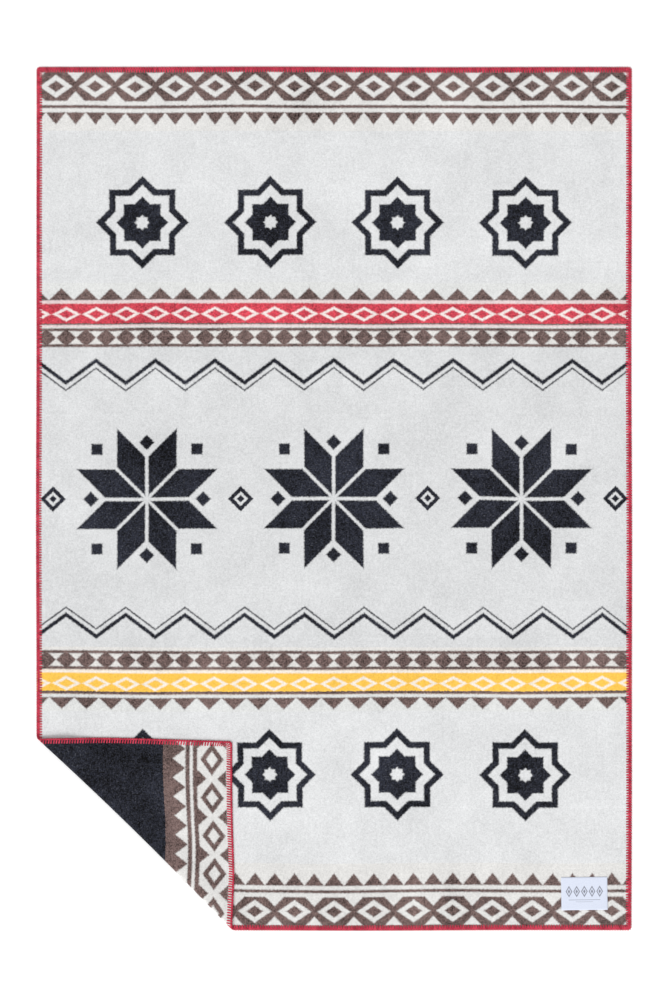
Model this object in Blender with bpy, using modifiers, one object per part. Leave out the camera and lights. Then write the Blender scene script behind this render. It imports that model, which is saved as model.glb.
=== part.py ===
"""A wool blanket lying face up on a flat surface, with its near left corner folded over onto its face.

A woven label is sewn on near the right corner, and stitched yarn runs round all four edges. Metres, +Z up,
origin on the surface under the blanket's middle. Points are first placed on the blanket as it was cut,
flat: u runs across it from the left edge, and v runs up it from the near edge. The function folded() then
lays each of them where it is on the folded blanket.
"""

import math

import bmesh
import bpy
import numpy as np
from mathutils import Vector
from mathutils.geometry import delaunay_2d_cdt

# The blanket as cut, over its stitched edges
WIDTH = 1.400
LENGTH = 2.030
CORNER_RADIUS = 0.0075
CLOTH_THICK = 0.0036

# How much of each step inward the corners' radius gives up; their centres move in by the rest
CORNER_SHRINK = 0.35

# The yarn band round the edges, and the thin edge of cloth inside it
BAND_WIDTH = 0.0140
BAND_THICK = CLOTH_THICK
BAND_WALL = 0.0010
BAND_ROUNDING = 0.0006
CLEAR = 0.0003
EDGE_INSET = BAND_WALL + CLEAR
EDGE_THICK = BAND_THICK - 2 * EDGE_INSET
STEP_WIDTH = 0.0010

# The fold across the near left corner: where it meets the left edge and the near edge of the flat blanket
FOLD_UP_LEFT_EDGE = 0.452
FOLD_ALONG_NEAR_EDGE = 0.461
FOLD_RADIUS = 0.0046
FOLD_BOW = 0.006
BOW_REACH = 0.10

# How the flap settles on the cloth below, and how far its corner has slipped along the fold and towards it
LAYER_GAP = 0.0008
EASE_LENGTH = 0.065
SLIP_ALONG = 0.018
SLIP_TOWARDS = 0.0053
SLIP_POWER = 1.4

# How the flap's two edges bulge outward: how far, where along the flat edge, half how much of it, and how
# far past the bend the cloth has taken it up
BULGE_ACROSS = (0.0052, 0.353, 0.168)
BULGE_UP = (0.0017, 0.238, 0.115)
BULGE_START = 0.08

# How the flap has sprung up beside the fold at its far edge: how far, where past the fold, half how much of
# it, and how far in from that edge it fades
LIFT = (0.010, 0.040, 0.030)
LIFT_FADE = 0.060

# How far the cloth wanders from a true rectangle, in waves: reach, turn across, turn up, start angle
WANDER_SIDEWAYS = ((0.0006, 3.1, 4.3, 0.4), (0.0003, 6.7, 9.1, 2.2))
WANDER_UP = ((0.0006, 4.9, 2.3, 1.1), (0.0003, 10.3, 5.7, 3.0))

# The woven label, by its middle on the flat blanket
LABEL_SIZE = (0.108, 0.077)
LABEL_CENTRE = (1.289, 0.087)
LABEL_TURN = math.radians(0.8)
LABEL_THICK = 0.0010
LABEL_CURL = 0.0020
LABEL_CURL_SHARE = 0.55

# How finely the outline and the fold are divided
STATION = 0.085
STATIONS_APART = 0.028
CORNER_STEPS = 4
BEND_STEPS = 8
EASE_STEPS = 6
FOLD_COLUMNS = 16
FLAT_ROWS = (-0.22, -0.12, -0.05, 0.12, 0.22)
LABEL_CELLS = (8, 6)
SAME_POINT = 1e-6

WOOL_GREY = (0.76, 0.77, 0.77, 1.0)
YARN_RED = (0.46, 0.035, 0.055, 1.0)
LABEL_WHITE = (0.80, 0.84, 0.93, 1.0)

HALF_TURN = math.pi * FOLD_RADIUS / 2
LEFT_END = np.array([0.0, FOLD_UP_LEFT_EDGE])
NEAR_END = np.array([FOLD_ALONG_NEAR_EDGE, 0.0])
FOLD_SPAN = float(np.linalg.norm(NEAR_END - LEFT_END))
ALONG = (NEAR_END - LEFT_END) / FOLD_SPAN
OUTWARD = np.array([ALONG[1], -ALONG[0]])
FLAP_REACH = float(-LEFT_END @ OUTWARD)


def wander(u, v, waves):
    """A sum of slow sine waves over the flat blanket."""
    return sum(reach * np.sin(across * u + up * v + start) for reach, across, up, start in waves)


def past_fold(flat):
    """How far each flat point lies beyond the fold line, on the corner's side of it."""
    return (flat - LEFT_END) @ OUTWARD


def bulge(at, past, reach, middle, spread):
    """A bell-shaped bulge of the flap, by one flat coordinate, grown over the start of the flap."""
    grown = np.clip((past - HALF_TURN) / BULGE_START, 0, 1)
    return reach * np.exp(-(((at - middle) / spread) ** 2)) * grown


def bend(s):
    """Sideways place, height and slope of the cloth's middle, s metres past the fold line when flat."""
    low = CLOTH_THICK / 2
    high = low + 2 * FOLD_RADIUS
    rest = low + CLOTH_THICK + LAYER_GAP
    turn = np.clip((s + HALF_TURN) / FOLD_RADIUS, 0, math.pi)
    back = np.maximum(s - HALF_TURN, 0)
    ease = np.clip(back / EASE_LENGTH, 0, 1)
    sideways = np.minimum(s, -HALF_TURN) + FOLD_RADIUS * np.sin(turn) - back
    height = low + FOLD_RADIUS * (1 - np.cos(turn)) - (high - rest) * ease**2 * (3 - 2 * ease)
    drop = (high - rest) / EASE_LENGTH * 6 * ease * (1 - ease)
    return sideways, height, turn + np.arctan(drop)


def folded(flat, above=0.0):
    """Flat points (u, v) as (x, y, z) on the folded blanket, so far off the cloth's middle on its face."""
    flat = np.asarray(flat, float)
    u, v = flat[:, 0], flat[:, 1]
    past = past_fold(flat)
    along = (flat - LEFT_END) @ ALONG
    sideways, height, slope = bend(past)
    share = np.clip(along / FOLD_SPAN, 0, 1)
    bow = FOLD_BOW * 4 * share * (1 - share) * np.exp(-((sideways / BOW_REACH) ** 2))
    slip = np.clip((past - HALF_TURN) / FLAP_REACH, 0, 1) ** SLIP_POWER
    out = sideways - bow + SLIP_TOWARDS * slip - above * np.sin(slope)
    place = LEFT_END + np.outer(along + SLIP_ALONG * slip, ALONG) + np.outer(out, OUTWARD)
    x = place[:, 0] - WIDTH / 2 + wander(u, v, WANDER_SIDEWAYS) + bulge(u, past, *BULGE_ACROSS)
    y = place[:, 1] - LENGTH / 2 + wander(u, v, WANDER_UP) + bulge(v, past, *BULGE_UP)
    height = height + bulge(past, past, *LIFT) * np.exp(-((u / LIFT_FADE) ** 2))
    return np.stack([x, y, height + above * np.cos(slope)], axis=1)


def fold_rows():
    """Distances past the fold line at which the cloth gets a row of points."""
    turn_rows = np.linspace(-HALF_TURN, HALF_TURN, BEND_STEPS + 1)
    ease_rows = HALF_TURN + EASE_LENGTH * np.arange(1, EASE_STEPS + 1) / EASE_STEPS
    return sorted([*FLAT_ROWS, *turn_rows, *ease_rows])


def row_ends(past, inset):
    """Where the line so far past the fold comes within inset of the left edge, and of the near edge."""
    start = LEFT_END + OUTWARD * past
    left = start + ALONG * (inset - start[0]) / ALONG[0]
    near = start + ALONG * (inset - start[1]) / ALONG[1]
    return left, near


def edge_stations():
    """Points round the blanket's outline, and how each moves across and up for a metre further in."""
    low, right, top = CORNER_RADIUS, WIDTH - CORNER_RADIUS, LENGTH - CORNER_RADIUS
    rows = [(row_ends(past, 0.0), row_ends(past, 1.0)) for past in fold_rows()]
    left_rows = [(at_edge[0], further_in[0] - at_edge[0]) for at_edge, further_in in rows]
    near_rows = [(at_edge[1], further_in[1] - at_edge[1]) for at_edge, further_in in reversed(rows)]
    corners = (
        (low, low, 180, near_rows),
        (right, low, 270, []),
        (right, top, 0, []),
        (low, top, 90, left_rows),
    )
    arcs = []
    for u, v, start, _ in corners:
        angles = np.radians(start + np.linspace(0, 90, CORNER_STEPS + 1))
        rays = np.stack([np.cos(angles), np.sin(angles)], axis=1)
        centre = np.array((u, v))
        slide = (1 - CORNER_SHRINK) * np.where(centre > CORNER_RADIUS, -1, 1)
        arcs.append([(centre + CORNER_RADIUS * ray, slide - CORNER_SHRINK * ray) for ray in rays])
    stations = []
    for index, (_, _, _, fold_stations) in enumerate(corners):
        here, after = arcs[index][-1][0], arcs[(index + 1) % 4][0][0]
        ahead = (after - here) / np.linalg.norm(after - here)
        inward = np.array([-ahead[1], ahead[0]])
        steps = round(float(np.linalg.norm(after - here)) / STATION)
        evenly = [(here + (after - here) * k / steps, inward) for k in range(1, steps)]
        apart = [
            (place, inward)
            for place, inward in evenly
            if all(np.linalg.norm(place - other) > STATIONS_APART for other, _ in fold_stations)
        ]
        side = sorted([*apart, *fold_stations], key=lambda station: np.linalg.norm(station[0] - here))
        stations += [*arcs[index], *side]
    outer, inwards = zip(*stations)
    return np.array(outer), np.array(inwards)


def ring(inset):
    """The same stations round the blanket, so far inside its outline."""
    outer, inwards = edge_stations()
    return outer + inset * inwards


def inside_by(flat):
    """How far each flat point lies inside the blanket's rounded outline."""
    middle = np.array([WIDTH / 2, LENGTH / 2])
    beyond = np.abs(flat - middle) - (middle - CORNER_RADIUS)
    outer = np.linalg.norm(np.maximum(beyond, 0), axis=1)
    return CORNER_RADIUS - outer - np.minimum(beyond.max(axis=1), 0)


def flat_cloth():
    """The flat blanket as points and triangles: rings inside its edge, and rows along the fold."""
    points, edges = [], []
    for inset in (EDGE_INSET, BAND_WIDTH + CLEAR, BAND_WIDTH + CLEAR + STEP_WIDTH):
        stations = ring(inset)
        first = len(points)
        points.extend(stations)
        edges.extend((first + k, first + (k + 1) % len(stations)) for k in range(len(stations)))
    for past in fold_rows():
        left, near = row_ends(past, EDGE_INSET)
        columns = max(2, round(FOLD_COLUMNS * float(np.linalg.norm(near - left)) / FOLD_SPAN))
        first = len(points)
        points.extend(left + (near - left) * k / columns for k in range(columns + 1))
        edges.extend((first + k, first + k + 1) for k in range(columns))
    whole = delaunay_2d_cdt([Vector(p) for p in points], edges, [], 1, SAME_POINT)
    return np.array([tuple(p) for p in whole[0]]), whole[2]


def material(name, colour, roughness):
    made = bpy.data.materials.new(name)
    made.use_nodes = True
    shader = made.node_tree.nodes["Principled BSDF"]
    shader.inputs["Base Color"].default_value = colour
    shader.inputs["Roughness"].default_value = roughness
    shader.inputs["Metallic"].default_value = 0.0
    return made


def new_object(mesh, finish, collection):
    mesh.materials.append(finish)
    made = bpy.data.objects.new(mesh.name, mesh)
    collection.objects.link(made)
    return made


def thicken(made, thickness, offset):
    shell = made.modifiers.new("thickness", "SOLIDIFY")
    shell.thickness = thickness
    shell.offset = offset
    shell.use_even_offset = True
    return shell


def blanket_cloth(collection):
    """One sheet of double cloth, thinner where the yarn band grips its edge."""
    flat, faces = flat_cloth()
    mesh = bpy.data.meshes.new("blanket")
    mesh.from_pydata(folded(flat).tolist(), [], faces)
    made = new_object(mesh, material("grey wool", WOOL_GREY, 0.9), collection)
    group = made.vertex_groups.new(name="full thickness")
    gripped = inside_by(flat) < BAND_WIDTH + CLEAR + 0.9 * STEP_WIDTH
    for index, at_edge in enumerate(gripped):
        group.add([index], EDGE_THICK / CLOTH_THICK if at_edge else 1.0, "REPLACE")
    thicken(made, CLOTH_THICK, 0).vertex_group = group.name


def yarn_band(collection):
    """The stitched yarn round the edge as one channel that grips the cloth from both sides."""
    half = BAND_THICK / 2
    profile = (
        (BAND_WIDTH, half),
        (BAND_ROUNDING, half),
        (0.0, half - BAND_ROUNDING),
        (0.0, BAND_ROUNDING - half),
        (BAND_ROUNDING, -half),
        (BAND_WIDTH, -half),
    )
    rings = [folded(ring(inset), above) for inset, above in profile]
    count = len(rings[0])
    faces = []
    for inner in range(0, count * (len(profile) - 1), count):
        outer = inner + count
        for here in range(count):
            after = (here + 1) % count
            faces.append((inner + here, outer + here, outer + after, inner + after))
    mesh = bpy.data.meshes.new("edging")
    mesh.from_pydata(np.concatenate(rings).tolist(), [], faces)
    made = new_object(mesh, material("red wool yarn", YARN_RED, 0.85), collection)
    thicken(made, BAND_WALL, -1)


def woven_label(collection):
    """The label: a thin rectangle on the face, its near right corner a little off the cloth."""
    across = np.array([math.cos(LABEL_TURN), math.sin(LABEL_TURN)])
    up = np.array([-math.sin(LABEL_TURN), math.cos(LABEL_TURN)])
    sheet = bmesh.new()
    bmesh.ops.create_grid(sheet, x_segments=LABEL_CELLS[0], y_segments=LABEL_CELLS[1], size=0.5)
    for corner in sheet.verts:
        share_across, share_up = corner.co.x, corner.co.y
        flat = LABEL_CENTRE + share_across * LABEL_SIZE[0] * across + share_up * LABEL_SIZE[1] * up
        towards_corner = max(0.0, share_across - share_up - 1 + LABEL_CURL_SHARE) / LABEL_CURL_SHARE
        lifted = LABEL_CURL * towards_corner**2
        corner.co = folded([flat], CLOTH_THICK / 2 + CLEAR + lifted)[0]
    mesh = bpy.data.meshes.new("label")
    sheet.to_mesh(mesh)
    sheet.free()
    made = new_object(mesh, material("white label ribbon", LABEL_WHITE, 0.6), collection)
    thicken(made, LABEL_THICK, 1)


def main():
    for left_over in list(bpy.data.objects):
        bpy.data.objects.remove(left_over, do_unlink=True)
    collection = bpy.data.collections.new("wool blanket with a folded corner")
    bpy.context.scene.collection.children.link(collection)
    blanket_cloth(collection)
    yarn_band(collection)
    woven_label(collection)


main()
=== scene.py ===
"""Looks of a wool blanket that lies face up with its near left corner folded over onto its face.

The cloth is a double weave of pale and dark wool, brushed on both sides, so its reverse shows the face's
design with the two yarns swapped. Red wool yarn is stitched round all four edges, and a small woven label is
sewn on near the right corner. Metres, +Z up. Points are first placed on the blanket as it was cut, flat:
u runs across it from the left edge and v runs up it from the near edge. The function folded() then lays each
of them where it is on the folded blanket.
"""

import math

import bmesh
import bpy
import numpy as np
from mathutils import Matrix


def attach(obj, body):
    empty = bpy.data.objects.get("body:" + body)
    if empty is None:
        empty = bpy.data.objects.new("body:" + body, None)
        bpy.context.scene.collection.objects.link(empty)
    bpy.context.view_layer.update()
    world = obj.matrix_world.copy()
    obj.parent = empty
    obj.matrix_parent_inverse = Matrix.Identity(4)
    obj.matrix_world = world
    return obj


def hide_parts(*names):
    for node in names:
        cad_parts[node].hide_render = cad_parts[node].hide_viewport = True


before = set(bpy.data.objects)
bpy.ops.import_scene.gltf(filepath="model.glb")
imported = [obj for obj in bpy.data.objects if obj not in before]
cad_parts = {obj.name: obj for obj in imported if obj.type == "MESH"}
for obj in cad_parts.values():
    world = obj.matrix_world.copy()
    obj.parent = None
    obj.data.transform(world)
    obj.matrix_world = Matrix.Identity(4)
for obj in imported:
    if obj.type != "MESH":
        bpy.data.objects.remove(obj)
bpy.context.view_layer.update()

MM = 0.001

# The blanket as cut, over its stitched edges, as in the solids
WIDTH = 1.400
LENGTH = 2.030
CORNER_RADIUS = 0.0075
CORNER_SHRINK = 0.35
CLOTH_THICK = 0.0036

# The fold across the near left corner, and how the flap settles on the cloth below, as in the solids. Each
# bulge, and the lift, is its reach, its middle and its spread
FOLD_UP_LEFT_EDGE = 0.452
FOLD_ALONG_NEAR_EDGE = 0.461
FOLD_RADIUS = 0.0046
FOLD_BOW = 0.006
BOW_REACH = 0.10
LAYER_GAP = 0.0008
EASE_LENGTH = 0.065
SLIP_ALONG = 0.018
SLIP_TOWARDS = 0.0053
SLIP_POWER = 1.4
BULGE_ACROSS = (0.0052, 0.353, 0.168)
BULGE_UP = (0.0017, 0.238, 0.115)
BULGE_START = 0.08
LIFT = (0.010, 0.040, 0.030)
LIFT_FADE = 0.060

# Slow sideways waves of the whole cloth, as in the solids: reach, turn across, turn up, start angle
WANDER_SIDEWAYS = ((0.0006, 3.1, 4.3, 0.4), (0.0003, 6.7, 9.1, 2.2))
WANDER_UP = ((0.0006, 4.9, 2.3, 1.1), (0.0003, 10.3, 5.7, 3.0))

# How the cloth is pinched under the stitches: heights off its middle at its cut edge, and where that ends
CUT_INSET = 2.2 * MM
RIM_INSET = 1.5 * MM
PINCH_FACE = 1.2 * MM
PINCH_BACK = -0.6 * MM
PINCH_MIDDLE = 0.3 * MM
PINCH_FULL = 9 * MM
PINCH_NONE = 17 * MM

# Slow rise and fall of the open face, in the same columns as WANDER_UP, and where it fades out
RELIEF = ((0.00012, 21.0, 13.0, 0.7), (0.00010, -11.0, 27.0, 2.1), (0.00006, 43.0, 31.0, 4.0))
RELIEF_FADE = 0.10
RELIEF_OFF_FLAP = 0.02
RELIEF_OFF_LABEL = 0.08

# How finely the cloth is divided: its cells, the short ones along its edges, the steps round the fold's bend
# and down to rest, and the rows by the tip of the folded corner
CLOTH_CELL = 0.012
EDGE_CELL = 0.008
BEND_STEPS = 12
EASE_STEPS = 13
TIP_ROWS = 5
TIP_CELL = 0.004

# Stitches: how many, the holes they come up through, the yarn's half width and half thickness, and how
# uneven they are. The yarn is mapped as if it were round, of YARN_RADIUS
STITCHES_A_PIECE = 560
STITCHES_PAST_CORNER = 2
HOLE_INSET = 13.7 * MM
LEG_HALF_WIDE = 1.4 * MM
LEG_HALF_THICK = 0.7 * MM
BACK_LEG_HALF_WIDE = 1.7 * MM
BACK_LEG_HALF_THICK = 0.6 * MM
BACK_SLANT = 2.0 * MM
YARN_SIDES = 6
YARN_RADIUS = 1 * MM
UNEVEN_ALONG = 0.35 * MM
UNEVEN_INSET = 0.45 * MM
UNEVEN_SIZE = 0.07
LEAN_REACH = 0.035

# Yarn along the edge, as inset, height off the cloth's middle, half width and half thickness: the rail that
# the stitches end at, and on the face the flat bed that their legs cross. Each stitch pulls them in a little
RAIL = (3.0 * MM, -0.35 * MM, 2.1 * MM, 1.1 * MM)
BED = (5.2 * MM, 1.2 * MM, 2.4 * MM, 0.45 * MM)
EDGE_STEPS = 3
EDGE_PULL = 0.12 * MM
EDGE_UNEVEN_SIZE = 0.04
SEED = 7

# A leg of a stitch on the face, and one on the back, from its hole out to the edge. Each row is its share of
# the way out, its share of the way along, its height off the cloth's middle in mm, and a share of full size
FACE_LEG = (
    (0.00, 0.20, 1.2, 0.0),
    (0.02, 0.18, 1.7, 0.7),
    (0.09, 0.18, 2.15, 0.85),
    (0.28, 0.22, 2.2, 0.9),
    (0.50, 0.50, 1.9, 1.0),
    (0.76, 0.88, 1.5, 1.0),
    (0.92, 1.00, 1.1, 0.9),
    (0.98, 1.00, 0.7, 0.7),
    (1.00, 1.00, 0.4, 0.0),
)
BACK_LEG = (
    (0.00, 0.00, -0.5, 0.0),
    (0.03, 0.03, -1.0, 0.8),
    (0.14, 0.14, -1.25, 1.0),
    (0.42, 0.44, -1.3, 1.0),
    (0.70, 0.75, -1.25, 1.0),
    (0.92, 1.00, -1.0, 0.9),
    (1.00, 1.00, -0.7, 0.0),
)
FACE_END_INSET = -0.3 * MM
FACE_END_APART = 0.55 * MM
BACK_END_INSET = 2.6 * MM

# The woven label, by its middle on the flat blanket, as in the solids
LABEL_SIZE = (0.108, 0.077)
LABEL_CENTRE = (1.289, 0.087)
LABEL_TURN = math.radians(0.8)
LABEL_THICK = 0.8 * MM
LABEL_CLEAR = 0.3 * MM
LABEL_CURL = 2.0 * MM
LABEL_CURL_SHARE = 0.55
LABEL_RIM_BULGE = 0.3
LABEL_CELLS = (36, 26)

# Where each side of the cloth and of the label goes on its piece's bake map, as a scale and the place of its
# lower left corner, how far apart the rings of a rim lie there, and how much of a yarn's cell stays empty
FACE_ON_MAP = (0.483, (0.006, 0.008))
FLAP_BACK_ON_MAP = (0.640, (0.694, 0.010))
BASE_BACK_ON_MAP = (0.214, (0.694, 0.325))
RIM_ON_MAP = 4 * MM
LABEL_FACE_ON_MAP = ((0.94, 0.62), (0.03, 0.03))
LABEL_BACK_ON_MAP = ((0.40, 0.26), (0.03, 0.71))
LABEL_RIM_ON_MAP = 0.012
YARN_MARGIN_ON_MAP = 0.08

HALF_TURN = math.pi * FOLD_RADIUS / 2
LEFT_END = np.array([0.0, FOLD_UP_LEFT_EDGE])
NEAR_END = np.array([FOLD_ALONG_NEAR_EDGE, 0.0])
FOLD_SPAN = float(np.linalg.norm(NEAR_END - LEFT_END))
ALONG = (NEAR_END - LEFT_END) / FOLD_SPAN
OUTWARD = np.array([ALONG[1], -ALONG[0]])
FLAP_REACH = float(-LEFT_END @ OUTWARD)


# Where flat points lie on the folded blanket


def waves(u, v, table):
    """A sum of slow sine waves over the flat blanket, a row of the table for each."""
    return sum(reach * np.sin(across * u + up * v + start) for reach, across, up, start in table)


def bulge(at, past, reach, middle, spread):
    """A bell-shaped bulge of the flap, by one flat coordinate, grown over the start of the flap."""
    grown = np.clip((past - HALF_TURN) / BULGE_START, 0, 1)
    return reach * np.exp(-(((at - middle) / spread) ** 2)) * grown


def bend(past):
    """Sideways place, height and slope of the cloth's middle, past metres beyond the fold line when flat.

    The cloth runs level to a half circle of FOLD_RADIUS, turns over, and sinks on a smooth step to its rest.
    """
    low = CLOTH_THICK / 2
    high = low + 2 * FOLD_RADIUS
    rest = low + CLOTH_THICK + LAYER_GAP
    turn = np.clip((past + HALF_TURN) / FOLD_RADIUS, 0, math.pi)
    back = np.maximum(past - HALF_TURN, 0)
    ease = np.clip(back / EASE_LENGTH, 0, 1)
    sideways = np.minimum(past, -HALF_TURN) + FOLD_RADIUS * np.sin(turn) - back
    height = low + FOLD_RADIUS * (1 - np.cos(turn)) - (high - rest) * ease**2 * (3 - 2 * ease)
    drop = (high - rest) / EASE_LENGTH * 6 * ease * (1 - ease)
    return sideways, height, turn + np.arctan(drop)


def folded(flat, above=0.0):
    """Flat points (u, v) as (x, y, z) on the folded blanket, so far off the cloth's middle on its face.

    Each point keeps its place along the fold line and is bent across it. The line bows inward a little. The
    flap's corner has slipped along the fold and towards it, more the further it is from the fold, its two
    edges bulge out, and its far edge has sprung up a little beside the fold.
    """
    u, v = flat[..., 0], flat[..., 1]
    past = (flat - LEFT_END) @ OUTWARD
    along = (flat - LEFT_END) @ ALONG
    sideways, height, slope = bend(past)
    share = np.clip(along / FOLD_SPAN, 0, 1)
    bow = FOLD_BOW * 4 * share * (1 - share) * np.exp(-((sideways / BOW_REACH) ** 2))
    slip = np.clip((past - HALF_TURN) / FLAP_REACH, 0, 1) ** SLIP_POWER
    out = sideways - bow + SLIP_TOWARDS * slip - above * np.sin(slope)
    way = along + SLIP_ALONG * slip
    x = LEFT_END[0] + way * ALONG[0] + out * OUTWARD[0] - WIDTH / 2
    y = LEFT_END[1] + way * ALONG[1] + out * OUTWARD[1] - LENGTH / 2
    x += waves(u, v, WANDER_SIDEWAYS) + bulge(u, past, *BULGE_ACROSS)
    y += waves(u, v, WANDER_UP) + bulge(v, past, *BULGE_UP)
    height = height + bulge(past, past, *LIFT) * np.exp(-((u / LIFT_FADE) ** 2))
    return np.stack([x, y, height + above * np.cos(slope)], axis=-1)


def inside_by(flat):
    """How far each flat point lies inside the blanket's rounded outline."""
    middle = np.array([WIDTH / 2, LENGTH / 2])
    beyond = np.abs(flat - middle) - (middle - CORNER_RADIUS)
    outer = np.linalg.norm(np.maximum(beyond, 0), axis=-1)
    return CORNER_RADIUS - outer - np.minimum(beyond.max(axis=-1), 0)


def round_corners(flat, inset):
    """Moves the points of a square-cornered grid so that its four corners become quarter circles.

    In each corner's square, with x and y from 0 at its inner sides to 1 at the edges, x becomes
    x * sqrt(1 - y * y / 2) and y becomes y * sqrt(1 - x * x / 2).
    """
    middle = np.array([WIDTH / 2, LENGTH / 2])
    radius = CORNER_RADIUS - inset
    beyond = np.abs(flat - middle) - (middle - CORNER_RADIUS)
    share = np.maximum(beyond, 0) / radius
    rounded = share * np.sqrt(1 - share[..., ::-1] ** 2 / 2) * radius
    in_corner = (beyond > 0).all(axis=-1, keepdims=True)
    moved = np.sign(flat - middle) * (rounded + middle - CORNER_RADIUS) + middle
    return np.where(in_corner, moved, flat)


def outline_place(along, inset):
    """Flat places so far round the outline, anticlockwise from the near left, and so far inside it.

    Each is a corner circle's centre, which slides along the straight sides, plus its ray times its radius.
    Further in, the radius gives up CORNER_SHRINK of each step and the centre moves in by the rest. Beside a
    corner the places lean to keep up with it, less and less over LEAN_REACH.
    """
    left, right, near, far = CORNER_RADIUS, WIDTH - CORNER_RADIUS, CORNER_RADIUS, LENGTH - CORNER_RADIUS
    quarter = math.pi * CORNER_RADIUS / 2
    half_round = [right - left, quarter, far - near, quarter]
    knots = np.cumsum([0, *half_round, *half_round])
    centre_u = np.interp(along, knots, [left, right, right, right, right, left, left, left, left])
    centre_v = np.interp(along, knots, [near, near, near, far, far, far, far, near, near])
    angle = np.radians(np.interp(along, knots, [-90, -90, 0, 0, 90, 90, 180, 180, 270]))
    lean_u = np.interp(centre_u, [left, left + LEAN_REACH, right - LEAN_REACH, right], [1, 0, 0, -1])
    lean_v = np.interp(centre_v, [near, near + LEAN_REACH, far - LEAN_REACH, far], [1, 0, 0, -1])
    reach = CORNER_RADIUS - CORNER_SHRINK * inset
    slide = inset - CORNER_SHRINK * inset
    u = centre_u + slide * lean_u + reach * np.cos(angle)
    v = centre_v + slide * lean_v + reach * np.sin(angle)
    return np.stack([u, v], axis=-1)


# Meshes from grids of points

WELD_REACH = 2e-7


def surface(points, maps, finish=0, turned=False):
    """One or many grids of points (..., rows, columns, 3) with their UV maps, finish number and facing."""
    return {"points": points, "maps": maps, "finish": finish, "turned": turned}


def grid_faces(shape, turned):
    """Four point numbers for each cell of grids numbered row by row, facing rows x columns or turned."""
    number = np.arange(math.prod(shape)).reshape(shape)
    corners = [number[..., :-1, :-1], number[..., :-1, 1:], number[..., 1:, 1:], number[..., 1:, :-1]]
    faces = np.stack(corners, axis=-1).reshape(-1, 4)
    return faces[:, ::-1] if turned else faces


def make_piece(name, surfaces, finishes):
    """Joins surfaces into one closed mesh object, its seams and poles welded, that rides on the one body."""
    points, faces, numbers, first = [], [], [], 0
    for grid in surfaces:
        shape = grid["points"].shape[:-1]
        cells = grid_faces(shape, grid["turned"]) + first
        points.append(grid["points"].reshape(-1, 3))
        faces.append(cells)
        numbers.append(np.full(len(cells), grid["finish"]))
        first += math.prod(shape)
    faces = np.concatenate(faces)
    mesh = bpy.data.meshes.new(name)
    mesh.from_pydata(np.concatenate(points).tolist(), [], faces.tolist())
    mesh.polygons.foreach_set("material_index", np.concatenate(numbers).astype(np.int32))
    for map_name in surfaces[0]["maps"]:
        places = np.concatenate([grid["maps"][map_name].reshape(-1, 2) for grid in surfaces])
        layer = mesh.uv_layers.new(name=map_name)
        layer.uv.foreach_set("vector", places[faces.ravel()].astype(np.float32).ravel())
    for finish in finishes:
        mesh.materials.append(finish)
    welded = bmesh.new()
    welded.from_mesh(mesh)
    bmesh.ops.remove_doubles(welded, verts=welded.verts, dist=WELD_REACH)
    welded.to_mesh(mesh)
    welded.free()
    mesh.shade_smooth()
    made = bpy.data.objects.new(name, mesh)
    bpy.context.scene.collection.objects.link(made)
    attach(made, "root")
    return made


# The cloth


def spread(length):
    """Shares from 0 to 1 along a length of cloth: two short cells at each end, and even ones between."""
    short = EDGE_CELL / length
    even_cells = round((length - 4 * EDGE_CELL) / CLOTH_CELL)
    between = np.linspace(2 * short, 1 - 2 * short, even_cells + 1)
    return np.concatenate([[0, short], between, [1 - short, 1]])


def row_ends(past, inset):
    """Where the line so far past the fold comes within inset of the left edge, and of the near edge."""
    start = LEFT_END + np.multiply.outer(past, OUTWARD)
    left = start + ALONG * ((inset - start[..., :1]) / ALONG[0])
    near = start + ALONG * ((inset - start[..., 1:]) / ALONG[1])
    return left, near


def flat_grids(inset):
    """The flat cloth, cut so far inside the outline, as two grids: all up to the fold's bend, and the rest.

    The first grid's left column runs along the start of the bend and then up the left edge. The second
    grid's rows run along the fold, closer together in the bend, and shrink to a point at the corner.
    """
    fold_shares = spread(FOLD_UP_LEFT_EDGE)
    left, near = row_ends(-HALF_TURN, inset)
    far_shares = spread(LENGTH - FOLD_UP_LEFT_EDGE)[1:]
    v_low = inset + (left[1] - inset) * fold_shares
    v_high = left[1] + (LENGTH - inset - left[1]) * far_shares
    v = np.concatenate([v_low, v_high])[:, None]
    u_left = np.interp(v, [inset, left[1]], [near[0], inset])
    u = u_left + (WIDTH - inset - u_left) * spread(WIDTH)
    base = np.stack([u, np.broadcast_to(v, u.shape)], axis=-1)

    tip = float((np.array([inset, inset]) - LEFT_END) @ OUTWARD)
    turning = np.linspace(-HALF_TURN, HALF_TURN, BEND_STEPS + 1)
    easing = HALF_TURN + EASE_LENGTH * np.arange(1, EASE_STEPS + 1) / EASE_STEPS
    near_tip = tip - TIP_CELL * np.arange(TIP_ROWS, -1, -1)
    steps = round((FLAP_REACH - EASE_LENGTH) / CLOTH_CELL)
    level = np.linspace(easing[-1], near_tip[0], steps + 1)[1:-1]
    past = np.concatenate([turning, easing, level, near_tip])
    left, near = row_ends(past, inset)
    flap = near[:, None] + (left - near)[:, None] * fold_shares[:, None]
    return round_corners(base, inset), round_corners(flap, inset)


def cut_edge(inset):
    """The flat cloth's edge as one closed row of points, anticlockwise from where the fold meets it."""
    base, flap = flat_grids(inset)
    left_side = base[-2 : flap.shape[1] - 2 : -1, 0]
    sides = [base[0], base[1:, -1], base[-1, -2::-1], left_side, flap[1:, -1], flap[-2::-1, 0]]
    return np.concatenate(sides)


def pinch(flat, at_edge, full):
    """Height off the middle: at_edge under the stitches, full beyond them, and a straight ramp between."""
    share = np.clip((inside_by(flat) - PINCH_FULL) / (PINCH_NONE - PINCH_FULL), 0, 1)
    return at_edge + (full - at_edge) * share


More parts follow.
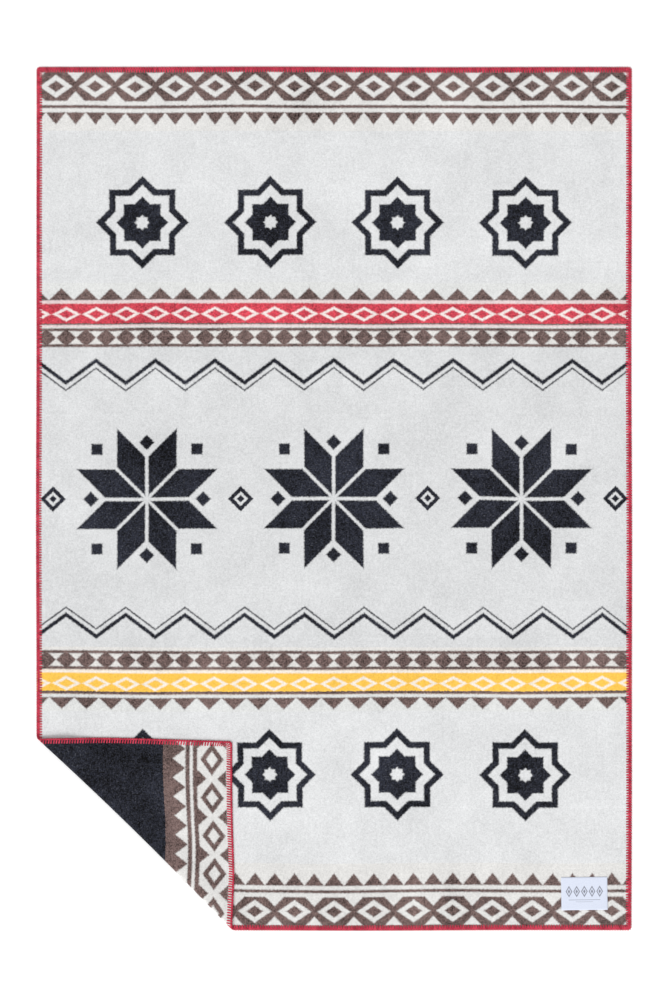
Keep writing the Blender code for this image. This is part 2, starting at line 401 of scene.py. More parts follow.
def relief(flat):
    """Slow waves of the open face, faded out near its edges, round the folded corner and round the label."""
    u, v = flat[..., 0], flat[..., 1]
    clear_of_flap = np.maximum(u - FOLD_ALONG_NEAR_EDGE, v - FOLD_UP_LEFT_EDGE) - RELIEF_OFF_FLAP
    clear_of_label = np.linalg.norm(flat - np.array(LABEL_CENTRE), axis=-1) - RELIEF_OFF_LABEL
    clear = np.minimum(np.minimum(clear_of_flap, clear_of_label), inside_by(flat) - PINCH_NONE)
    share = np.clip(clear / RELIEF_FADE, 0, 1)
    return waves(u, v, RELIEF) * share**2 * (3 - 2 * share)


def on_map(flat, layout):
    """Places on a bake map: the flat places times the layout's scale, plus its corner."""
    scale, corner = layout
    return flat * np.array(scale) + np.array(corner)


def blanket_cloth(face_wool, back_wool):
    """The folded sheet: its face and back as two grids each, and a rounded rim round its cut edge."""
    surfaces = []
    back_layouts = (BASE_BACK_ON_MAP, FLAP_BACK_ON_MAP)
    for flat, back_layout in zip(flat_grids(CUT_INSET), back_layouts):
        top = pinch(flat, PINCH_FACE, CLOTH_THICK / 2) + relief(flat)
        bottom = pinch(flat, PINCH_BACK, -CLOTH_THICK / 2)
        face_maps = {"cloth": flat, "OFBake": on_map(flat, FACE_ON_MAP)}
        back_maps = {"cloth": flat, "OFBake": on_map(flat, back_layout)}
        surfaces.append(surface(folded(flat, top), face_maps, finish=0))
        surfaces.append(surface(folded(flat, bottom), back_maps, finish=1, turned=True))
    edge, rim = cut_edge(CUT_INSET), cut_edge(RIM_INSET)
    rings = [folded(edge, PINCH_FACE), folded(rim, PINCH_MIDDLE), folded(edge, PINCH_BACK)]
    spaced = np.stack([cut_edge(CUT_INSET - step * RIM_ON_MAP) for step in range(3)])
    rim_maps = {"cloth": np.stack([edge, edge, edge]), "OFBake": on_map(spaced, FACE_ON_MAP)}
    surfaces.append(surface(np.stack(rings), rim_maps, finish=0, turned=True))
    made = make_piece("blanket_cloth", surfaces, [face_wool, back_wool])
    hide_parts("blanket")
    return made


# The stitched edge


def yarn_rings(path, size, half_wide, half_thick):
    """Ellipses across paths (..., points, 3) of along, inset and above: half_wide level, half_thick up."""
    ahead = np.gradient(path, axis=-2)
    level = np.stack([-ahead[..., 1], ahead[..., 0], np.zeros(ahead.shape[:-1])], axis=-1)
    level /= np.maximum(np.linalg.norm(level, axis=-1, keepdims=True), 1e-9)
    turn = np.linspace(0, 2 * math.pi, YARN_SIDES + 1)[:, None]
    wide = level[..., None, :] * np.cos(turn) * half_wide
    thick = np.array([0, 0, 1.0]) * np.sin(turn) * half_thick
    return path[..., None, :] + (wide + thick) * size[..., None, None]


def legs(holes, ends, profile, half_wide, half_thick, sizes):
    """One leg of yarn from each hole to each end (along, inset), by the rows of a profile."""
    out, sideways, above, size = np.array(profile).T
    level = holes[:, None] + (ends - holes)[:, None] * np.stack([sideways, out], axis=-1)
    height = np.broadcast_to(above * MM, level.shape[:-1])
    path = np.concatenate([level, height[..., None]], axis=-1)
    return yarn_rings(path, size * sizes[:, None], half_wide, half_thick)


def strand_maps(rings, sixth):
    """UV maps for yarn, a grid for each stitch: metres along and round it, and a place on the bake map.

    On the bake map the stitches stand in rows of square cells. Each cell has room for two strands across and
    three up, and sixth says which of the six these are.
    """
    count, rows, columns, _ = rings.shape
    stitch = np.arange(count)[:, None, None]
    along = np.linspace(0, 1, rows)[:, None]
    round_it = np.linspace(0, 1, columns)
    shape = (count, rows, columns)
    strand = np.stack([np.broadcast_to(stitch + along, shape), np.broadcast_to(round_it, shape)], axis=-1)
    side = math.ceil(math.sqrt(count))
    filled = 1 - 2 * YARN_MARGIN_ON_MAP
    cell_u = stitch % side + (sixth % 2 + YARN_MARGIN_ON_MAP + filled * round_it) / 2
    cell_v = stitch // side + (sixth // 2 + YARN_MARGIN_ON_MAP + filled * along) / 3
    bake = np.stack([np.broadcast_to(cell_u, shape), np.broadcast_to(cell_v, shape)], axis=-1) / side
    return {"strand": strand * np.array([HOLE_INSET, 2 * math.pi * YARN_RADIUS]), "OFBake": bake}


def edging_yarn(name, first, yarns, random):
    """Stitches round one long and one short side, from the stitch number first.

    On the face two legs leave each hole side by side, cross a flat bed of the same yarn, painted darker
    as the shade between the legs, and spread to the edge, where each ends beside a leg of the next stitch.
    On the back one leg slants from the hole to a rail of yarn along the edge. All this is worked out along
    the edge and inset from it, and folded() lays it.
    """
    length = 2 * (WIDTH + LENGTH - 4 * CORNER_RADIUS) + 2 * math.pi * CORNER_RADIUS
    pitch = length / (2 * STITCHES_A_PIECE)
    number = first + np.arange(STITCHES_A_PIECE)
    sizes = 1 + UNEVEN_SIZE * random.uniform(-1, 1, len(number))
    holes = np.stack([number * pitch, np.full(len(number), HOLE_INSET)], axis=-1)
    holes += random.uniform(-1, 1, holes.shape) * np.array([UNEVEN_ALONG, UNEVEN_INSET])
    before = np.stack([(number - 0.5) * pitch, np.full(len(number), FACE_END_INSET)], axis=-1)
    before[:, 0] += FACE_END_APART
    after = before + np.array([pitch - 2 * FACE_END_APART, 0])
    at_rail = np.stack([number * pitch + BACK_SLANT, np.full(len(number), BACK_END_INSET)], axis=-1)
    at_rail[:, 0] += random.uniform(-1, 1, len(number)) * UNEVEN_ALONG
    tubes = [
        legs(holes, before, FACE_LEG, LEG_HALF_WIDE, LEG_HALF_THICK, sizes),
        legs(holes, after, FACE_LEG, LEG_HALF_WIDE, LEG_HALF_THICK, sizes),
        legs(holes, at_rail, BACK_LEG, BACK_LEG_HALF_WIDE, BACK_LEG_HALF_THICK, sizes),
    ]
    steps = np.arange(STITCHES_A_PIECE * EDGE_STEPS + 1)
    windows = np.arange(STITCHES_A_PIECE)[:, None] * EDGE_STEPS + np.arange(EDGE_STEPS + 1)
    way = (number[0] - 0.5 + steps / EDGE_STEPS) * pitch
    pull = EDGE_PULL * np.cos(2 * math.pi * steps / EDGE_STEPS)
    for inset, above, half_wide, half_thick in (RAIL, BED):
        path = np.stack([way, inset + pull, np.full(len(steps), above)], axis=-1)
        size = 1 + EDGE_UNEVEN_SIZE * random.uniform(-1, 1, len(steps))
        size[[0, -1]] = 0
        tubes.append(yarn_rings(path, size, half_wide, half_thick)[windows])
    surfaces = []
    yarn_numbers = (0, 0, 0, 0, 1)
    for sixth, (rings, yarn_number) in enumerate(zip(tubes, yarn_numbers)):
        flat = outline_place(rings[..., 0] % length, rings[..., 1])
        surfaces.append(surface(folded(flat, rings[..., 2]), strand_maps(rings, sixth), yarn_number))
    made = make_piece(name, surfaces, yarns)
    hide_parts("edging")
    return made


# The label


def label_place(shares, above):
    """Shares from -0.5 to 0.5 across and up the label as places, its near right corner curled up."""
    across = np.array([math.cos(LABEL_TURN), math.sin(LABEL_TURN)]) * LABEL_SIZE[0]
    up = np.array([-math.sin(LABEL_TURN), math.cos(LABEL_TURN)]) * LABEL_SIZE[1]
    flat = np.array(LABEL_CENTRE) + shares[..., :1] * across + shares[..., 1:] * up
    to_corner = np.maximum(0, shares[..., 0] - shares[..., 1] - 1 + LABEL_CURL_SHARE) / LABEL_CURL_SHARE
    return folded(flat, CLOTH_THICK / 2 + LABEL_CLEAR + LABEL_CURL * to_corner**2 + above)


def woven_label(ribbon):
    """The label: a thin ribbon, its face and back as a grid each, with a rounded rim between them."""
    columns, rows = (np.linspace(-0.5, 0.5, cells + 1) for cells in LABEL_CELLS)
    shares = np.stack(np.meshgrid(columns, rows), axis=-1)
    size = np.array(LABEL_SIZE)
    edge = np.concatenate([shares[0], shares[1:, -1], shares[-1, -2::-1], shares[-2::-1, 0]])
    rim = edge * (1 + 2 * LABEL_RIM_BULGE * LABEL_THICK / size)
    face_maps = {"ribbon": shares * size, "OFBake": on_map(shares + 0.5, LABEL_FACE_ON_MAP)}
    back_maps = {"ribbon": shares * size, "OFBake": on_map(shares + 0.5, LABEL_BACK_ON_MAP)}
    spaced = np.stack([edge * (1 + step * LABEL_RIM_ON_MAP) + 0.5 for step in range(3)])
    rim_maps = {"ribbon": np.stack([edge] * 3) * size, "OFBake": on_map(spaced, LABEL_FACE_ON_MAP)}
    rings = [label_place(edge, LABEL_THICK), label_place(rim, LABEL_THICK / 2), label_place(edge, 0)]
    surfaces = [
        surface(label_place(shares, LABEL_THICK), face_maps),
        surface(label_place(shares, 0), back_maps, turned=True),
        surface(np.stack(rings), rim_maps, turned=True),
    ]
    made = make_piece("woven_label", surfaces, [ribbon])
    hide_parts("label")
    return made


# Finishes


def linear(hex_colour):
    """An sRGB hex colour as linear red, green and blue with full alpha."""
    shares = [int(hex_colour[at : at + 2], 16) / 255 for at in (1, 3, 5)]
    return (*[s / 12.92 if s <= 0.04045 else ((s + 0.055) / 1.055) ** 2.4 for s in shares], 1.0)


def add(tree, kind, values=(), **settings):
    """Adds a node with its settings. Each value, in order or by name, is set on an input or linked to it."""
    node = tree.nodes.new(f"ShaderNode{kind}")
    for name, setting in settings.items():
        setattr(node, name, setting)
    in_use = [socket for socket in node.inputs if socket.enabled]
    for key, value in values.items() if isinstance(values, dict) else enumerate(values):
        socket = node.inputs[key] if isinstance(key, str) else in_use[key]
        if isinstance(value, bpy.types.Node):
            value = next(output for output in value.outputs if output.enabled)
        if isinstance(value, bpy.types.NodeSocket):
            tree.links.new(value, socket)
        else:
            socket.default_value = value
    return node


def new_finish(name):
    """A new material with an empty tree but for its shader, and the two of them."""
    made = bpy.data.materials.new(name)
    made.use_nodes = True
    return made, made.node_tree, made.node_tree.nodes["Principled BSDF"]


# The woven design, in millimetres: across from the blanket's middle line, and up from its nearer end. Each
# function gives how deep inside its dark figures a place is, in millimetres, and less than 0 outside them.
WIDTH_MM = round(WIDTH / MM)
HALF_LENGTH_MM = round(LENGTH / MM / 2)
SOFT_RIM = 2.4


def together(tree, depths):
    """Depth inside any of several figures: the greatest of theirs."""
    whole = depths[0]
    for depth in depths[1:]:
        whole = add(tree, "Math", (whole, depth), operation="MAXIMUM")
    return whole


def left_out(tree, depth, cut):
    """Depth inside a figure with another one cut out of it."""
    outside = add(tree, "Math", (cut, -1.0), operation="MULTIPLY")
    return add(tree, "Math", (depth, outside), operation="MINIMUM")


def stripe(tree, place, low, high):
    """Depth inside a stripe: half its width less the distance from its middle."""
    off = add(tree, "Math", (place, (low + high) / 2), operation="SUBTRACT")
    off = add(tree, "Math", (off,), operation="ABSOLUTE")
    return add(tree, "Math", ((high - low) / 2, off), operation="SUBTRACT")


def straight_sided(tree, beside, above, corners):
    """Depth inside the lines through a figure's corners, anticlockwise: the least distance to any line."""
    place = add(tree, "CombineXYZ", (beside, above, 1.0))
    whole = None
    for (x, y), (next_x, next_y) in zip(corners, corners[1:]):
        length = math.hypot(next_x - x, next_y - y)
        inward = ((y - next_y) / length, (next_x - x) / length)
        line = (*inward, -(inward[0] * x + inward[1] * y))
        depth = add(tree, "VectorMath", (place, line), operation="DOT_PRODUCT")
        whole = add(tree, "Math", (whole, depth), operation="MINIMUM") if whole else depth
    return whole


def from_row(tree, across, pitch, shift=0.0):
    """Distance from the nearest of a row of middles, pitch apart."""
    moved = add(tree, "Math", (across, shift), operation="ADD")
    return add(tree, "Math", (moved, pitch / 2), operation="PINGPONG")


def from_line(tree, up, line):
    """Distance from a line, on either side of it."""
    off = add(tree, "Math", (up, line), operation="SUBTRACT")
    return add(tree, "Math", (off,), operation="ABSOLUTE")


def end_border(tree, across, up):
    """A dark band with a row of hollow lozenges and small triangles, then a line and a row of teeth.

    Under the stitches its pale figures are left out, so the band is dark all along there: partly its own
    dark yarn, and partly painted shade between the stitches' legs.
    """
    pitch = WIDTH_MM / 15
    middle = 46
    top = 80
    yarn_shade_reach = 13
    foot_of_teeth = 107
    beside = from_row(tree, across, pitch)
    between = add(tree, "Math", (pitch / 2, beside), operation="SUBTRACT")
    above = from_line(tree, up, middle)
    lozenge = straight_sided(tree, beside, above, ((39, 0), (0, 27)))
    hollow = stripe(tree, lozenge, 0, 11)
    triangle = straight_sided(tree, between, above, ((0, 12), (27, 40), (0, 40)))
    band = add(tree, "Math", (top, up), operation="SUBTRACT")
    # Pale figures are left out under the stitches: painted shade between the legs, over the band's own dark
    clear_of_yarn_shade = add(tree, "Math", (up, yarn_shade_reach), operation="SUBTRACT")
    pale = add(tree, "Math", (together(tree, (hollow, triangle)), clear_of_yarn_shade), operation="MINIMUM")
    band = left_out(tree, band, pale)
    line = stripe(tree, up, 90, 97)
    height = add(tree, "Math", (up, foot_of_teeth), operation="SUBTRACT")
    beside = from_row(tree, across, pitch / 2)
    teeth = straight_sided(tree, beside, height, ((0, 0), (pitch / 4, 0), (0, 29)))
    return together(tree, (band, line, teeth))


def small_stars(tree, across, up):
    """Four ringed stars across the blanket, each two squares turned on one another."""
    pitch = 300
    middle = 366
    beside = from_row(tree, across, pitch, shift=pitch / 2)
    above = from_line(tree, up, middle)
    longer = add(tree, "Math", (beside, above), operation="MAXIMUM")
    slanted = add(tree, "Math", (beside, above), operation="ADD")
    slanted = add(tree, "Math", (slanted, math.sqrt(0.5)), operation="MULTIPLY")
    reach = add(tree, "Math", (longer, slanted), operation="MINIMUM")
    rings = together(tree, (stripe(tree, reach, 62, 77), stripe(tree, reach, 12, 43)))
    within_four = add(tree, "Math", (2 * pitch, across), operation="SUBTRACT")
    return add(tree, "Math", (rings, within_four), operation="MINIMUM")


def stripes(tree, across, up):
    """A row of teeth, the bright stripe with hollow lozenges, and a band with hourglasses."""
    foot_of_teeth = 548
    bright_low, bright_high = 556, 606
    band_low, band_high = 614, 658
    pitch = WIDTH_MM / 24
    beside = from_row(tree, across, pitch)
    height = add(tree, "Math", (foot_of_teeth, up), operation="SUBTRACT")
    teeth = straight_sided(tree, beside, height, ((0, 0), (pitch / 2, 0), (0, 28)))
    beside = from_row(tree, across, WIDTH_MM / 20)
    above = from_line(tree, up, (bright_low + bright_high) / 2)
    lozenge = straight_sided(tree, beside, above, ((33, 0), (0, 17)))
    bright = left_out(tree, stripe(tree, up, bright_low, bright_high), stripe(tree, lozenge, 0, 6))
    beside = from_row(tree, across, WIDTH_MM / 30)
    above = from_line(tree, up, (band_low + band_high) / 2)
    glass = straight_sided(tree, beside, above, ((0, 0), (16, 15), (0, 15)))
    band = left_out(tree, stripe(tree, up, band_low, band_high), glass)
    return together(tree, (teeth, bright, band))


def zigzag(tree, across, up):
    """A zigzag line and a thinner one beside it, from the distance off a line that rises and falls."""
    rise, run = 52, 70
    lowest = 690
    slope = rise / run
    line = add(tree, "Math", (from_row(tree, across, 2 * run), slope, lowest), operation="MULTIPLY_ADD")
    off = add(tree, "Math", (up, line), operation="SUBTRACT")
    off = add(tree, "Math", (off, 1 / math.hypot(1, slope)), operation="MULTIPLY")
    return together(tree, (stripe(tree, off, -4.5, 4.5), stripe(tree, off, 12.5, 16.0)))


def great_stars(tree, across, up):
    """Three eight-petalled stars along the middle, with a small square or lozenge in each notch."""
    pitch = 440
    beside = from_row(tree, across, pitch)
    above = add(tree, "Math", (HALF_LENGTH_MM, up), operation="SUBTRACT")
    longer = add(tree, "Math", (beside, above), operation="MAXIMUM")
    shorter = add(tree, "Math", (beside, above), operation="MINIMUM")
    petal = straight_sided(tree, longer, shorter, ((9, 4), (99, 4), (165, 70), (75, 70), (9, 4)))
    lozenge = straight_sided(tree, longer, shorter, ((150, 0), (132, 18), (114, 0)))
    square = straight_sided(tree, longer, shorter, ((104, 104), (130, 104), (130, 130)))
    apart = from_row(tree, across, pitch, shift=pitch / 2)
    reach = add(tree, "Math", (apart, above), operation="ADD")
    between = together(tree, (stripe(tree, reach, 17, 30), stripe(tree, reach, -9, 9)))
    return together(tree, (petal, lozenge, square, between))


# The yarns in each stripe of the weave, from the near end to the middle: where it starts, the pale yarn and
# the dark one. The far half mirrors it, with its own bright yarn and the pale yarns beside it.
WEAVE = (
    (0, "#D6D5D3", "#675552"),
    (156, "#D5D6D7", "#20222B"),
    (512, "#D4D5D4", "#675552"),
    (550, "#E6D9CB", "#675552"),
    (556, "#EAE2D7", "#F0BE4F"),
    (606, "#E6D9CB", "#675552"),
    (612, "#D6D4D1", "#675552"),
    (662, "#CECFD0", "#20222B"),
    (692, "#CFD0D1", "#20222B"),
)
FAR_YARNS = {"#E6D9CB": "#DCC9C9", "#EAE2D7": "#E7DCD9", "#F0BE4F": "#C4414F", "#D5D6D7": "#D3D4D5"}


def yarns_along(tree, up_from_near_end, which):
    """The pale or the dark yarn of each stripe, by its column in the table, as a stepped ramp."""
    ends = [row[0] for row in WEAVE[1:]]
    near = [(row[0], row[which]) for row in WEAVE]
    far_yarns = [FAR_YARNS.get(yarn, yarn) for _, yarn in near]
    far = [(2 * HALF_LENGTH_MM - end, yarn) for end, yarn in zip(ends, far_yarns)]
    share = add(tree, "Math", (up_from_near_end, 2 * HALF_LENGTH_MM), operation="DIVIDE")
    ramp = add(tree, "ValToRGB", (share,))
    ramp.color_ramp.interpolation = "CONSTANT"
    stops = ramp.color_ramp.elements
    stops.remove(stops[1])
    for index, (start, colour) in enumerate([*near, *reversed(far)]):
        stop = stops[0] if index == 0 else stops.new(start / (2 * HALF_LENGTH_MM))
        stop.position = start / (2 * HALF_LENGTH_MM)
        stop.color = linear(colour)
    return ramp


def drifted(tree, place):
    """Places in millimetres, moved a little by noise.

    The cloth has relaxed unevenly over some 300 mm, and hairs of about 4 mm blur each figure's rim.
    """
    for size, reach, detail in ((300.0, 6.0, 1.0), (4.5, 4.5, 3.0)):
        settings = {"Vector": place, "Scale": 1 / size, "Detail": detail}
        noise = add(tree, "TexNoise", settings, noise_dimensions="2D")
        drift = add(tree, "VectorMath", (noise.outputs["Color"], (0.5, 0.5, 0.5)), operation="SUBTRACT")
        drift = add(tree, "VectorMath", (drift, (reach, reach, 0.0)), operation="MULTIPLY")
        place = add(tree, "VectorMath", (place, drift), operation="ADD")
    return place


def dark_figures(tree, from_left, from_near, on_face):
    """How much of a place is dark figure: 0 to 1 over a soft rim, by its depth inside any of the motifs.

    On the face a dark strip runs along the side edges under the stitches: partly the dark cloth of the back
    rolled round, and partly painted shade between the stitches' legs.
    """
    across = from_line(tree, from_left, WIDTH_MM / 2)
    up = add(tree, "Math", (from_near, HALF_LENGTH_MM), operation="PINGPONG")
    motifs = (end_border, small_stars, stripes, zigzag, great_stars)
    depth = together(tree, [motif(tree, across, up) for motif in motifs])
    if on_face:
        # Dark strip along the side edges: the back's cloth rolled round, and painted shade between the
        # stitches
        rolled_and_shaded_edge = add(tree, "Math", (across, WIDTH_MM / 2 - 4), operation="SUBTRACT")
        depth = together(tree, (depth, rolled_and_shaded_edge))
    ends = (depth, -SOFT_RIM, SOFT_RIM, 0.0, 1.0)
    return add(tree, "MapRange", ends, interpolation_type="SMOOTHSTEP")


def blended_tone(tree, cloth, own):
    """How much lighter or darker the wool is than its own colour, as a factor around 1.

    The wool was blended from fibres of several tones before spinning. It shows as clouds of some 170 mm,
    mottling of some 30 mm and grain of 7 mm and finer, and the darker the yarn the more: the sum of the four
    noises is multiplied by a small share, plus a larger one that falls off with the yarn's brightness.
    """
    blend = 0.0
    for size, reach, detail in ((170.0, 7.5, 1.0), (30.0, 5.5, 1.0), (7.5, 5.6, 0.0), (3.6, 18.0, 1.0)):
        settings = {"Vector": cloth, "Scale": 1000 / size, "Detail": detail, "Roughness": 1.0}
        noise = add(tree, "TexNoise", settings, noise_dimensions="2D")
        swing = add(tree, "Math", (noise, reach, -reach / 2), operation="MULTIPLY_ADD")
        blend = add(tree, "Math", (swing, blend), operation="ADD")
    darkness = add(tree, "Math", (add(tree, "RGBToBW", (own,)), -6.5), operation="MULTIPLY")
    darkness = add(tree, "Math", (darkness,), operation="EXPONENT")
    contrast = add(tree, "Math", (darkness, 0.20, 0.02), operation="MULTIPLY_ADD")
    return add(tree, "Math", (blend, contrast, 1.0), operation="MULTIPLY_ADD")


def brushed_wool(name, on_face):
    """Double-woven wool, fulled and brushed: matt, with soft figure edges and stray hairs of the other yarn.

    The eye gets a dry felted surface with a fine mottled grain, no glint, and motifs with fuzzy rims.
    """
    made, tree, shader = new_finish(name)
    cloth = add(tree, "UVMap", uv_map="cloth")
    place = add(tree, "VectorMath", (cloth, (1000.0, 1000.0, 0.0)), operation="MULTIPLY")
    apart = add(tree, "SeparateXYZ", (drifted(tree, place),))
    from_left, from_near = apart.outputs["X"], apart.outputs["Y"]
    figure = dark_figures(tree, from_left, from_near, on_face)
    pale, dark = yarns_along(tree, from_near, 1), yarns_along(tree, from_near, 2)
    over, under = (pale, dark) if on_face else (dark, pale)
    own = add(tree, "Mix", (figure, over, under), data_type="RGBA")
    other = add(tree, "Mix", (figure, under, over), data_type="RGBA")

    # Stray hairs of the other yarn, some 3 by 5 mm where they show at all
    hair_place = add(tree, "VectorMath", (cloth, (200.0, 330.0, 0.0)), operation="MULTIPLY")
    hairs = add(tree, "TexNoise", {"Vector": hair_place, "Scale": 1.0, "Detail": 4.0}, noise_dimensions="2D")
    stray = add(tree, "MapRange", (hairs, 0.5, 0.8, 0.0, 0.05), interpolation_type="SMOOTHSTEP")
    mixed = add(tree, "Mix", (stray, own, other), data_type="RGBA")
    toned = add(tree, "VectorMath", {0: mixed, "Scale": blended_tone(tree, cloth, own)}, operation="SCALE")
    tree.links.new(toned.outputs[0], shader.inputs["Base Color"])

    # Nap: tufts of about 3 mm with finer hairs, and the rims of figures sunk a little between two cloths
    tufts = add(tree, "TexNoise", {"Vector": cloth, "Scale": 330.0, "Detail": 4.0}, noise_dimensions="2D")
    flat_parts = add(tree, "Math", (figure, 0.5), operation="SUBTRACT")
    flat_parts = add(tree, "Math", (flat_parts,), operation="ABSOLUTE")
    nap = add(tree, "Math", (flat_parts, 0.5, tufts), operation="MULTIPLY_ADD")
    nap = add(tree, "Math", (hairs, 0.6, nap), operation="MULTIPLY_ADD")
    bump = add(tree, "Bump", {"Strength": 0.3, "Distance": 0.0009, "Height": nap})
    tree.links.new(bump.outputs[0], shader.inputs["Normal"])
    rough = add(tree, "MapRange", (tufts, 0.3, 0.7, 0.86, 0.96))
    tree.links.new(rough.outputs[0], shader.inputs["Roughness"])
    shader.inputs["Sheen Weight"].default_value = 0.04
    shader.inputs["Sheen Roughness"].default_value = 0.6
    shader.inputs["Specular IOR Level"].default_value = 0.1
    return made


def red_yarn(name, darker, lighter):
    """Two-ply red wool yarn: soft and matt, with painted shade in the grooves where its plies wind together.
    """
    made, tree, shader = new_finish(name)
    strand = add(tree, "UVMap", uv_map="strand")
    apart = add(tree, "SeparateXYZ", (strand,))

    # The plies turn once in about 5 mm, and two of them make two grooves a turn.
    # The grooves are sunk by the bump, and painted darker in the colour as the shade that falls in them
    ply_turn = 5 * MM
    turns = add(tree, "Math", (apart.outputs["X"], 4 * math.pi / ply_turn), operation="MULTIPLY")
    turns = add(tree, "Math", (apart.outputs["Y"], 2 / YARN_RADIUS, turns), operation="MULTIPLY_ADD")
    ply_relief_and_shade = add(tree, "Math", (turns,), operation="SINE")
    ply_relief_and_shade = add(tree, "Math", (ply_relief_and_shade, 0.5, 0.5), operation="MULTIPLY_ADD")

    # Hairs of about 1 mm, patches of some 17 mm where the dye took unevenly, and a tone for each stitch
    place = add(tree, "TexCoord").outputs["Object"]
    hairs = add(tree, "TexNoise", {"Vector": place, "Scale": 900.0, "Detail": 3.0})
    patches = add(tree, "TexNoise", {"Vector": place, "Scale": 60.0, "Detail": 2.0})
    stitch = add(tree, "Math", (apart.outputs["X"], 1 / HOLE_INSET), operation="MULTIPLY")
    stitch = add(tree, "Math", (stitch,), operation="FLOOR")
    own_tone = add(tree, "TexWhiteNoise", {"W": stitch}, noise_dimensions="1D").outputs["Value"]
    light = 0.0
    # The ply grooves' share of this sum is painted shade; the hairs, patches and tones are the yarn's own
    for source, weight in ((ply_relief_and_shade, 0.3), (hairs, 0.9), (patches, 0.6), (own_tone, 0.45)):
        light = add(tree, "Math", (source, weight, light), operation="MULTIPLY_ADD")
    share = add(tree, "MapRange", (light, 0.7, 1.55, 0.0, 1.0))
    colour = add(tree, "Mix", (share, linear(darker), linear(lighter)), data_type="RGBA")
    tree.links.new(colour.outputs["Result"], shader.inputs["Base Color"])
    height = add(tree, "Math", (hairs, 0.8, ply_relief_and_shade), operation="MULTIPLY_ADD")
    bump = add(tree, "Bump", {"Strength": 0.6, "Distance": 0.0004, "Height": height})
    tree.links.new(bump.outputs[0], shader.inputs["Normal"])
    rough = add(tree, "MapRange", (hairs, 0.3, 0.7, 0.75, 0.9))
    tree.links.new(rough.outputs[0], shader.inputs["Roughness"])
    shader.inputs["Sheen Weight"].default_value = 0.05
    shader.inputs["Sheen Roughness"].default_value = 0.5
    shader.inputs["Specular IOR Level"].default_value = 0.1
    return made


def satin_ribbon():
    """Polyester satin label ribbon: smooth and bluish white, with a faint sheen along its fine threads.

    Its ornament is woven in thin grey yarn: a row of five lozenges, and two short lines below it.
    """
    made, tree, shader = new_finish("bluish white satin ribbon")
    ribbon = add(tree, "UVMap", uv_map="ribbon")
    place = add(tree, "VectorMath", (ribbon, (1000.0, 1000.0, 0.0)), operation="MULTIPLY")
    apart = add(tree, "SeparateXYZ", (place,))
    up = apart.outputs["Y"]
    beside = add(tree, "Math", (apart.outputs["X"],), operation="ABSOLUTE")
    pitch = 18.0
    row_middle = 5.0
    lozenge = ((7.8, 0), (0, 13.5))
    lozenge = straight_sided(tree, from_row(tree, beside, pitch), from_line(tree, up, row_middle), lozenge)
    lozenges = together(tree, (stripe(tree, lozenge, 0, 2.2), stripe(tree, lozenge, 4.2, 9)))
    line = stripe(tree, up, -15.2, -14.2)
    thin_line = stripe(tree, up, -19.6, -19.0)
    ornament = []
    for whole, half_length in ((lozenges, 2.5 * pitch), (line, 37.0), (thin_line, 20.0)):
        within = add(tree, "Math", (half_length, beside), operation="SUBTRACT")
        ornament.append(add(tree, "Math", (whole, within), operation="MINIMUM"))
    figure = add(tree, "MapRange", (together(tree, ornament), -0.35, 0.35, 0.0, 0.8))

    # Threads 0.5 mm apart are too fine for the picture, and show as a weave only from close by
    thread_pitch = 0.5
    threads = add(tree, "Math", (up, 2 * math.pi / thread_pitch), operation="MULTIPLY")
    threads = add(tree, "Math", (threads,), operation="SINE")
    grain = add(tree, "TexNoise", {"Vector": place, "Scale": 0.6, "Detail": 2.0}, noise_dimensions="2D")
    uneven = add(tree, "MapRange", (grain, 0.3, 0.7, 0.0, 1.0))
    white = add(tree, "Mix", (uneven, linear("#CBD2E4"), linear("#D9DFEE")), data_type="RGBA")
    colour = add(tree, "Mix", (figure, white, linear("#5A5C69")), data_type="RGBA")
    tree.links.new(colour.outputs["Result"], shader.inputs["Base Color"])
    height = add(tree, "Math", (figure, 1.5, threads), operation="MULTIPLY_ADD")
    bump = add(tree, "Bump", {"Strength": 0.25, "Distance": 0.0001, "Height": height})
    tree.links.new(bump.outputs[0], shader.inputs["Normal"])
    rough = add(tree, "MapRange", (grain, 0.3, 0.7, 0.42, 0.55))
    tree.links.new(rough.outputs[0], shader.inputs["Roughness"])
    shader.inputs["Sheen Weight"].default_value = 0.1
    return made


# Stage, light and camera: the camera's height, and the height and middle of what it takes in on the floor

CAMERA_HEIGHT = 5.0
PICTURE_HEIGHT = 2.3515
PICTURE_MIDDLE = (-0.0012, -0.0031)
SENSOR = 36.0
FLOOR_SIZE = 16.0
FLOOR_DROP = 0.2 * MM


def pale_floor():
    """A plain white floor, just under the cloth: one square face."""
    shares = ((-0.5, -0.5), (0.5, -0.5), (0.5, 0.5), (-0.5, 0.5))
    corners = [(x * FLOOR_SIZE, y * FLOOR_SIZE, -FLOOR_DROP) for x, y in shares]
    mesh = bpy.data.meshes.new("floor")
    mesh.from_pydata(corners, [], [(0, 1, 2, 3)])
    made, tree, shader = new_finish("white painted floor")
    noise = add(tree, "TexNoise", {"Vector": add(tree, "TexCoord").outputs["Object"], "Scale": 3.0})
    shade = add(tree, "Mix", (noise, linear("#FDFDFD"), linear("#FFFFFF")), data_type="RGBA")
    tree.links.new(shade.outputs["Result"], shader.inputs["Base Color"])
    shader.inputs["Roughness"].default_value = 0.9
    mesh.materials.append(made)
    floor = bpy.data.objects.new("floor", mesh)
    bpy.context.scene.collection.objects.link(floor)


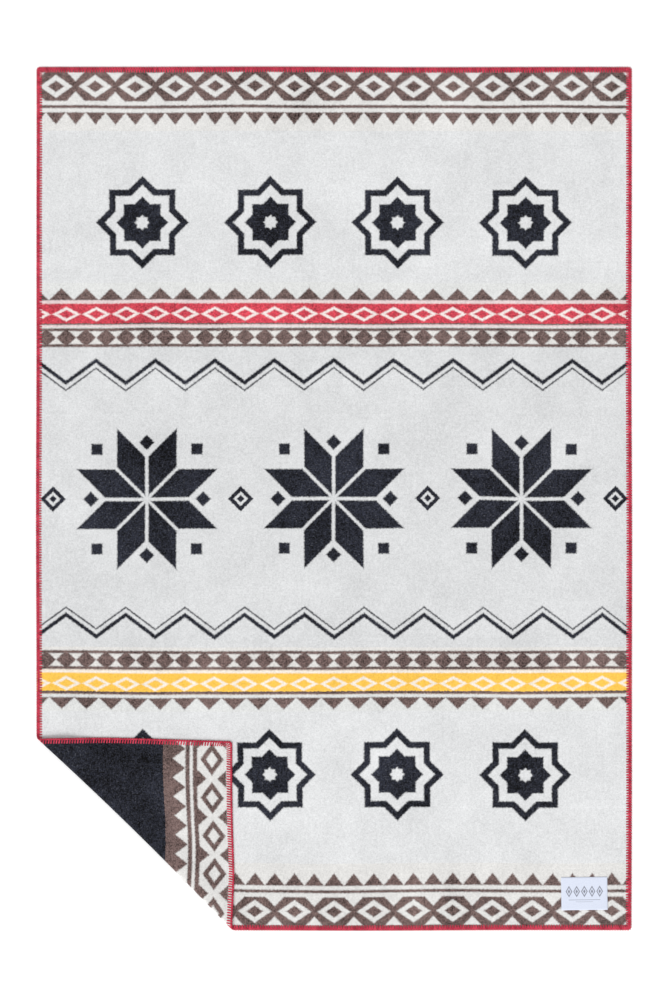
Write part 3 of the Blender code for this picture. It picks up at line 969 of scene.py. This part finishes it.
def studio_light():
    """A broad soft light from the lower left, a weaker one from the right, and an even white surround."""
    lights = (("broad soft light", 2.3, 40, (43, -32)), ("weaker soft light", 0.4, 60, (0, 60)))
    for name, strength, spread_angle, tilts in lights:
        sun = bpy.data.lights.new(name, "SUN")
        sun.energy = strength
        sun.angle = math.radians(spread_angle)
        lamp = bpy.data.objects.new(name, sun)
        lamp.rotation_euler = [math.radians(tilt) for tilt in (*tilts, 0)]
        bpy.context.scene.collection.objects.link(lamp)
    world = bpy.data.worlds.new("white surround")
    world.use_nodes = True
    surround = world.node_tree.nodes["Background"]
    surround.inputs["Color"].default_value = linear("#FFFFFF")
    surround.inputs["Strength"].default_value = 0.66
    bpy.context.scene.world = world


def overhead_camera():
    """A camera straight above, whose picture's top is the blanket's far end."""
    lens = bpy.data.cameras.new("camera")
    lens.sensor_fit = "VERTICAL"
    lens.sensor_height = SENSOR
    lens.lens = SENSOR * CAMERA_HEIGHT / PICTURE_HEIGHT
    camera = bpy.data.objects.new("camera", lens)
    camera.location = (*PICTURE_MIDDLE, CAMERA_HEIGHT)
    bpy.context.scene.collection.objects.link(camera)
    bpy.context.scene.camera = camera


def main():
    """Sets the stage, and makes the cloth, the yarn in two pieces and the label.

    The first piece of yarn starts just past the near right corner, the second just past the far left one.
    """
    overhead_camera()
    pale_floor()
    studio_light()
    bpy.context.scene.view_settings.view_transform = "Standard"
    random = np.random.default_rng(SEED)
    blanket_cloth(brushed_wool("brushed wool, face", True), brushed_wool("brushed wool, back", False))
    yarns = [
        red_yarn("two-ply red wool yarn", "#9C2438", "#DC4960"),
        # The bed is the same red yarn, painted darker as the shade that falls between the stitches' legs
        red_yarn("red wool yarn under the stitches, painted darker as shade", "#5A101D", "#8C2034"),
    ]
    half_round = WIDTH + LENGTH - 4 * CORNER_RADIUS + math.pi * CORNER_RADIUS
    near_edge_stitches = round((WIDTH - 2 * CORNER_RADIUS) / half_round * STITCHES_A_PIECE)
    first = near_edge_stitches + STITCHES_PAST_CORNER
    edging_yarn("edging_yarn_far_right", first, yarns, random)
    edging_yarn("edging_yarn_near_left", first + STITCHES_A_PIECE, yarns, random)
    woven_label(satin_ribbon())


main()
